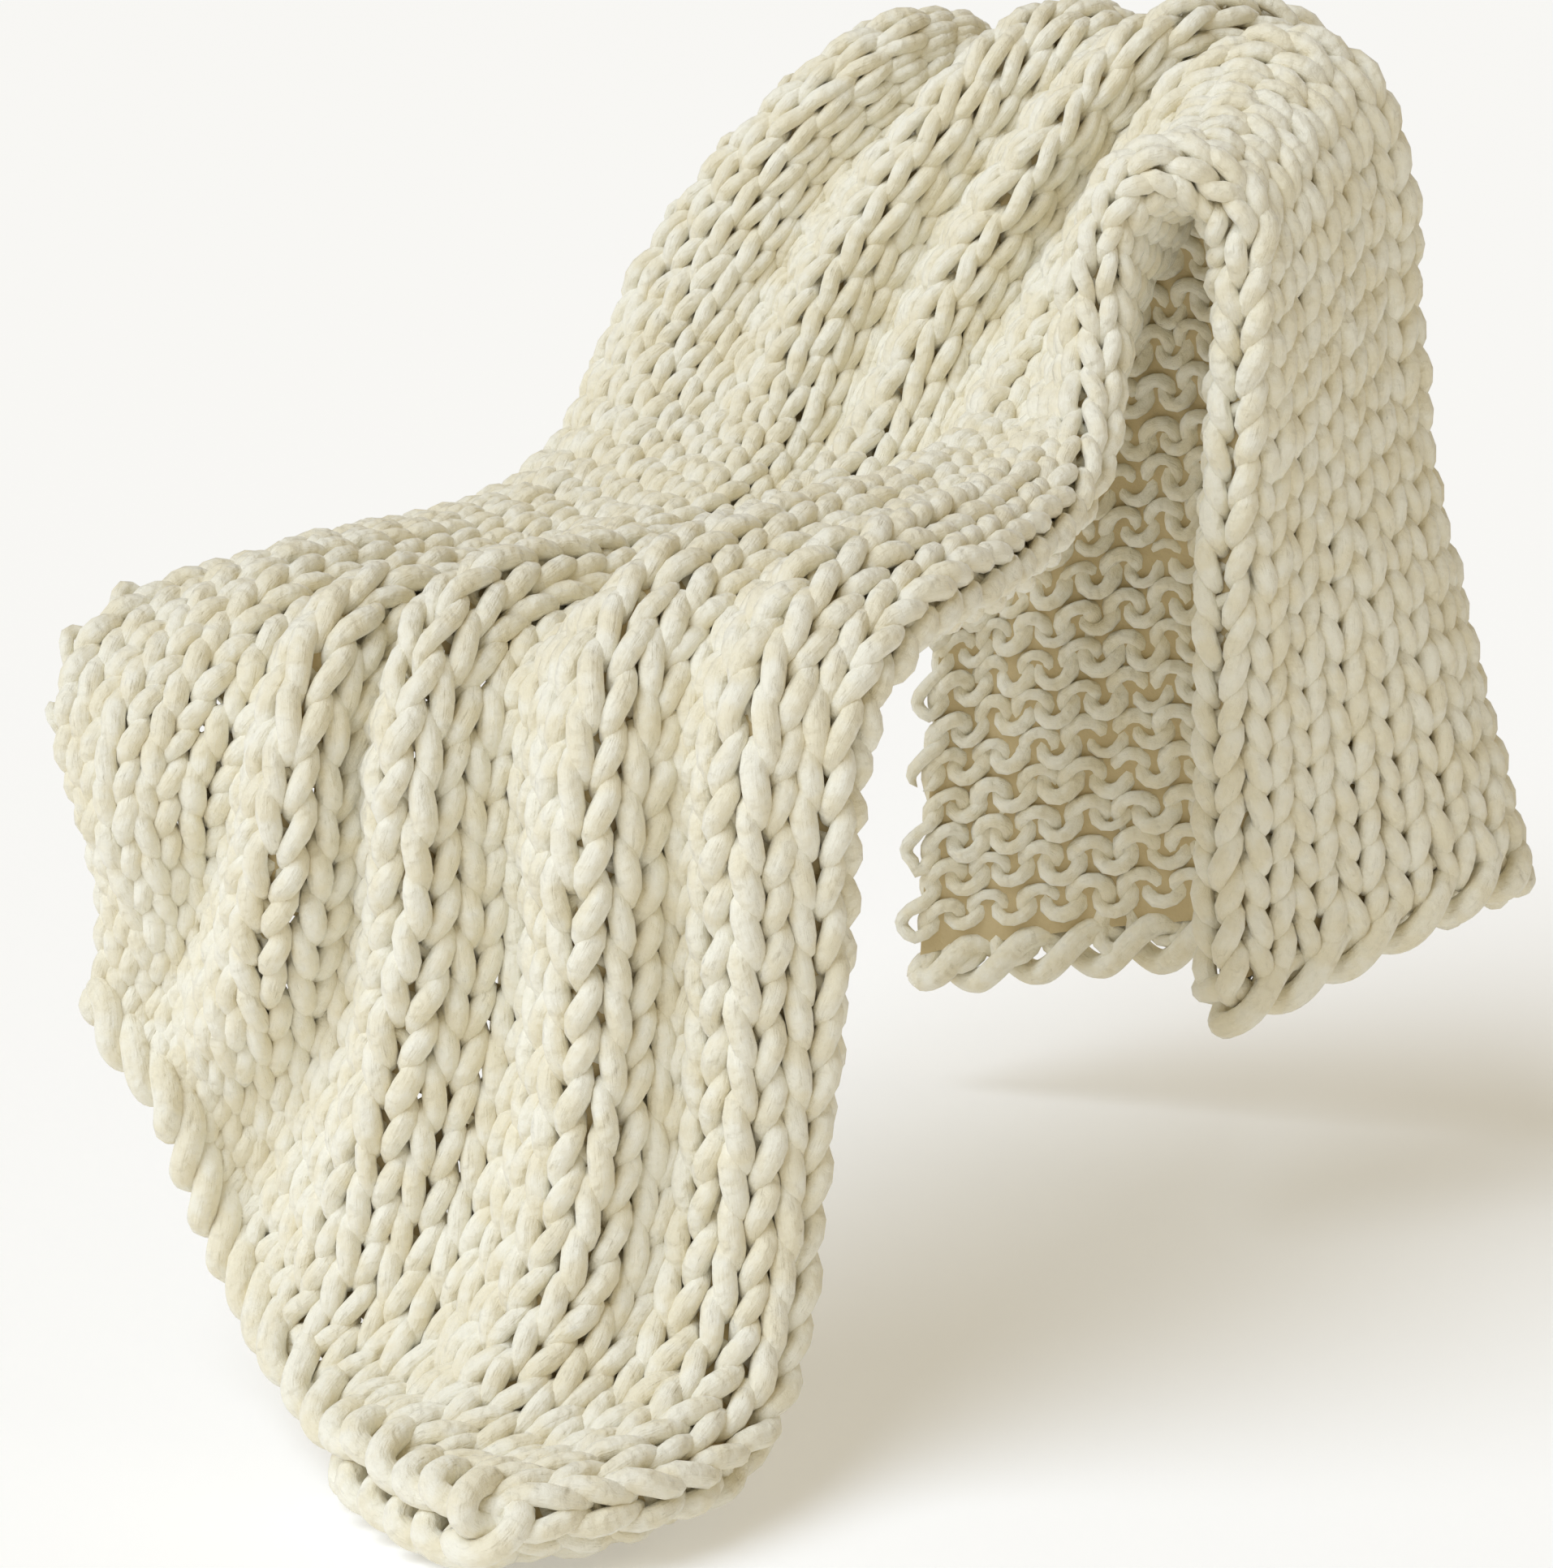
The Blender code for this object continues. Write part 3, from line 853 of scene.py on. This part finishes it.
@dataclass
class KnitGround:
    """The thin felt of loop heads, crossings and fibre at the middle of the cloth.

    It closes the knit behind the legs of the stitches, apart from a small opening beside each
    stitch in the open zones, where light comes through. Its colour, darker and warmer than the
    yarn's, is painted shade in the gaps between the stitches.

    Attributes:
        net: The cloth that it lies in.
        depth: Height of the felt over the middle of the cloth, in metres.
        steps: Steps of its mesh for each wale and each course.
        inset: How far it stops short of the edges, in wales and courses.
        opening: The step that is left open in a stitch, across and along.
        open_zones: Where stitches are stretched open: first and last wale, first and last course.
    """

    net: ClothNet
    depth: float = -0.003
    steps: int = 5
    inset: float = 0.1
    opening: tuple[int, int] = (2, 3)
    open_zones: tuple[tuple[int, int, int, int], ...] = ((0, 13, 44, 66), (7, 15, 0, 18))

    def is_open(self, wale: int, course: int) -> bool:
        """Whether light comes through beside a stitch.

        Args:
            wale: The stitch's wale.
            course: The stitch's course.

        Returns:
            True where the stitch is stretched open.
        """
        return any(
            first <= wale < last and low <= course < high
            for first, last, low, high in self.open_zones
        )

    def build(self, felt: bpy.types.Material, on_it: list[bpy.types.Object]) -> bpy.types.Object:
        """Args:
            felt: The felt's material, whose dark colour is painted shade.
            on_it: The yarns; not used.

        Returns:
            The finished sheet.
        """
        across = WALES * self.steps + 1
        along = COURSES * self.steps + 1
        wale = np.clip(np.arange(across)[:, None] / self.steps, self.inset, WALES - self.inset)
        course = np.clip(np.arange(along)[None] / self.steps, self.inset, COURSES - self.inset)
        points = self.net.place(wale, course, np.float64(self.depth)).reshape(-1, 3)
        faces = []
        for i in range(across - 1):
            for j in range(along - 1):
                if (i % self.steps, j % self.steps) == self.opening:
                    if self.is_open(i // self.steps, j // self.steps):
                        continue
                a = i * along + j
                faces.append((a, a + 1, a + along + 1, a + along))
        mesh = bpy.data.meshes.new("knit_ground")
        mesh.from_pydata(points.tolist(), [], faces)
        mesh.materials.append(felt)
        mesh.shade_smooth()
        piece = bpy.data.objects.new("knit_ground", mesh)
        bpy.context.scene.collection.objects.link(piece)
        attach(piece, BODY)
        return piece


# ---- finishes ----


@dataclass(frozen=True)
class SoftWool:
    """Thick wool, brushed soft and left undyed: a matte cream that blooms at its edges.

    Attributes:
        colour: The fibre in the light.
        shade: The fibre where it is packed closer, warmer because light bounces inside it.
        patch_mm: Size of the places where the fibre is packed closer.
        lump_mm: Size of the soft lumps in its surface.
        fibre_mm: Size of the fluff, as coarse as it must be to show.
        locks_along: Locks of fibre in a metre of yarn, each about 17 mm long.
        locks_round: Locks of fibre round the yarn, each about 1 mm wide.
    """

    colour: str = "F4F0DF"
    shade: str = "EEE6CC"
    patch_mm: float = 22.0
    lump_mm: float = 9.0
    fibre_mm: float = 2.2
    locks_along: float = 60.0
    locks_round: float = 34.0

    def material(self) -> bpy.types.Material:
        """Make the yarn's material.

        Returns:
            The material, with its locks drawn along the yarn's own UV map.
        """
        material = bpy.data.materials.new("soft_wool")
        material.use_nodes = True
        tree = material.node_tree
        shader = tree.nodes["Principled BSDF"]
        inside = add_node(tree, "ShaderNodeTexCoord")
        # Uneven spinning: some lengths are packed closer and look a little warmer.
        patches = add_node(
            tree, "ShaderNodeTexNoise", Vector=inside.outputs["Object"],
            Scale=1000.0 / self.patch_mm, Detail=2.0, Roughness=0.55,
        )
        packed = add_node(
            tree, "ShaderNodeMapRange", {"interpolation_type": "SMOOTHSTEP"},
            Value=patches.outputs[0], From_Min=0.35, From_Max=0.65, To_Min=0.0, To_Max=1.0,
        )
        colour = add_node(
            tree, "ShaderNodeMix", {"data_type": "RGBA"},
            i0=packed.outputs[0], i6=linear_colour(self.shade), i7=linear_colour(self.colour),
        )
        tree.links.new(colour.outputs[2], shader.inputs["Base Color"])
        # Locks of fibre run along the yarn, over soft lumps where it is spun unevenly.
        place = add_node(tree, "ShaderNodeUVMap", {"uv_map": "yarn_uv"})
        streak_place = add_node(
            tree, "ShaderNodeMapping", Vector=place.outputs[0],
            Scale=(self.locks_along, self.locks_round, 1.0),
        )
        streaks = add_node(
            tree, "ShaderNodeTexNoise", Vector=streak_place.outputs[0],
            Scale=1.0, Detail=3.0, Roughness=0.6,
        )
        fluff = add_node(
            tree, "ShaderNodeTexNoise", Vector=inside.outputs["Object"],
            Scale=1000.0 / self.fibre_mm, Detail=2.0, Roughness=0.7,
        )
        lumps = add_node(
            tree, "ShaderNodeTexNoise", Vector=inside.outputs["Object"],
            Scale=1000.0 / self.lump_mm, Detail=1.0, Roughness=0.5,
        )
        lump_bump = add_node(
            tree, "ShaderNodeBump", Strength=1.0, Distance=0.0035, Height=lumps.outputs[0]
        )
        streak_bump = add_node(
            tree, "ShaderNodeBump", Strength=0.7, Distance=0.0008,
            Height=streaks.outputs[0], Normal=lump_bump.outputs[0],
        )
        fluff_bump = add_node(
            tree, "ShaderNodeBump", Strength=0.8, Distance=0.0007,
            Height=fluff.outputs[0], Normal=streak_bump.outputs[0],
        )
        tree.links.new(fluff_bump.outputs[0], shader.inputs["Normal"])
        # A bloom of loose fibre catches light at the rims.
        shader.inputs["Roughness"].default_value = 0.9
        shader.inputs["Specular IOR Level"].default_value = 0.2
        shader.inputs["Sheen Weight"].default_value = 0.4
        shader.inputs["Sheen Roughness"].default_value = 0.45
        shader.inputs["Sheen Tint"].default_value = linear_colour("FFFFFF")
        return material


@dataclass(frozen=True)
class FeltWithPaintedShade:
    """Matted fibre at the middle of the knit. Its dull, warm colour is painted shade, because
    little light gets there.

    Attributes:
        colour: The felt, darker and warmer than the yarn as painted shade.
        lock_mm: Size of its matted locks.
    """

    colour: str = "CDBB92"
    lock_mm: float = 3.0

    def material(self) -> bpy.types.Material:
        """Make the felt's material.

        Returns:
            The material, drawn in the throw's own coordinates.
        """
        material = bpy.data.materials.new("felt_with_painted_shade")
        material.use_nodes = True
        tree = material.node_tree
        shader = tree.nodes["Principled BSDF"]
        # The felt's darker, warmer colour is painted shade in the gaps between the stitches.
        shader.inputs["Base Color"].default_value = linear_colour(self.colour)
        shader.inputs["Roughness"].default_value = 0.95
        shader.inputs["Specular IOR Level"].default_value = 0.1
        place = add_node(tree, "ShaderNodeTexCoord")
        locks = add_node(
            tree, "ShaderNodeTexNoise", Vector=place.outputs["Object"],
            Scale=1000.0 / self.lock_mm, Detail=3.0,
        )
        bump = add_node(
            tree, "ShaderNodeBump", Strength=0.6, Distance=0.001, Height=locks.outputs[0]
        )
        tree.links.new(bump.outputs[0], shader.inputs["Normal"])
        return material


# ---- studio ----


@dataclass
class Studio:
    """The floor, the lights and the camera.

    Attributes:
        floor_height: Height of the floor, in the row frame.
        floor_size: Width of the floor, in metres.
        camera_place: Where the camera stands.
        camera_aim: Unit vector along its view.
        lens_mm: Focal length for a sensor whose long side is 36 mm.
        room_light: Strength of the light from all round.
        room_seen: Strength of the backdrop beyond the floor, where it shows.
        key_place: A place that the key light shines from, towards the origin.
        key_spread: Width that it fills in the sky, in degrees.
        key_power: Its power, in watts on a square metre.
    """

    floor_height: float = -0.447
    floor_size: float = 60.0
    camera_place: Point = (1.3815, -3.3603, 0.8737)
    camera_aim: Point = (-0.3335, 0.9048, -0.2648)
    lens_mm: float = 146.3
    room_light: float = 0.38
    room_seen: float = 0.95
    key_place: Point = (-1.3, -1.9, 2.6)
    key_spread: float = 50.0
    key_power: float = 2.35

    def lay_floor(self) -> None:
        """A plain pale floor."""
        half = self.floor_size / 2
        corners = [(-half, -half), (half, -half), (half, half), (-half, half)]
        mesh = bpy.data.meshes.new("floor")
        mesh.from_pydata([(x, y, self.floor_height) for x, y in corners], [], [(0, 1, 2, 3)])
        floor = bpy.data.objects.new("floor", mesh)
        bpy.context.scene.collection.objects.link(floor)
        paint = bpy.data.materials.new("floor_paint")
        paint.use_nodes = True
        shader = paint.node_tree.nodes["Principled BSDF"]
        shader.inputs["Base Color"].default_value = linear_colour("F4F4F3")
        shader.inputs["Roughness"].default_value = 0.9
        shader.inputs["Emission Color"].default_value = linear_colour("FFFFFF")
        shader.inputs["Emission Strength"].default_value = 0.22
        mesh.materials.append(paint)

    def light(self) -> None:
        """Soft light from all round, in a pale room."""
        world = bpy.data.worlds.new("room")
        world.use_nodes = True
        tree = world.node_tree
        room = tree.nodes["Background"]
        room.inputs["Color"].default_value = linear_colour("FFEEC8")
        room.inputs["Strength"].default_value = self.room_light
        backdrop = add_node(
            tree, "ShaderNodeBackground", Color=linear_colour("FFFFFF"), Strength=self.room_seen
        )
        seen = add_node(tree, "ShaderNodeLightPath")
        mixed = add_node(
            tree, "ShaderNodeMixShader",
            i0=seen.outputs["Is Camera Ray"], i1=room.outputs[0], i2=backdrop.outputs[0],
        )
        tree.links.new(mixed.outputs[0], tree.nodes["World Output"].inputs["Surface"])
        bpy.context.scene.world = world

    def shine_key(self) -> None:
        """A broad key light, as even as daylight from a large window."""
        light = bpy.data.lights.new("key", "SUN")
        light.angle = np.radians(self.key_spread)
        light.energy = self.key_power
        light.color = linear_colour("E2EDFF")[:3]
        lamp = bpy.data.objects.new("key", light)
        lamp.location = self.key_place
        lamp.rotation_euler = (-Vector(self.key_place)).to_track_quat("-Z", "Y").to_euler()
        bpy.context.scene.collection.objects.link(lamp)

    def stand_camera(self) -> None:
        """The camera."""
        data = bpy.data.cameras.new("camera")
        data.lens = self.lens_mm
        data.sensor_width = 36.0
        camera = bpy.data.objects.new("camera", data)
        camera.location = self.camera_place
        aim = Vector(self.camera_aim)
        camera.rotation_euler = aim.to_track_quat("-Z", "Y").to_euler()
        bpy.context.scene.collection.objects.link(camera)
        bpy.context.scene.camera = camera
        bpy.context.scene.view_settings.view_transform = "Standard"


def main() -> None:
    """Build the throw, skein by skein, and set up the studio."""
    logging.basicConfig(level=logging.INFO, format="%(message)s")
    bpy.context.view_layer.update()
    net = Drape().solve()
    yarn = SoftWool().material()
    stitch = StockingStitch()
    edges = {
        1: (TwistedEdge(-0.42, Twist.RISING),),
        SKEINS: (TwistedEdge(COURSES + 0.42, Twist.FALLING),),
    }
    skeins = []
    for number in range(1, SKEINS + 1):
        skein = SkeinOfYarn(number, net, stitch, edges.get(number, ()))
        skeins.append(skein.build(yarn))
        log.info("%s: %d faces", skeins[-1].name, len(skeins[-1].data.polygons))
    ground = KnitGround(net).build(FeltWithPaintedShade().material(), skeins)
    log.info("%s: %d faces", ground.name, len(ground.data.polygons))
    studio = Studio()
    studio.lay_floor()
    studio.light()
    studio.shine_key()
    studio.stand_camera()


if __name__ == "__main__":
    main()
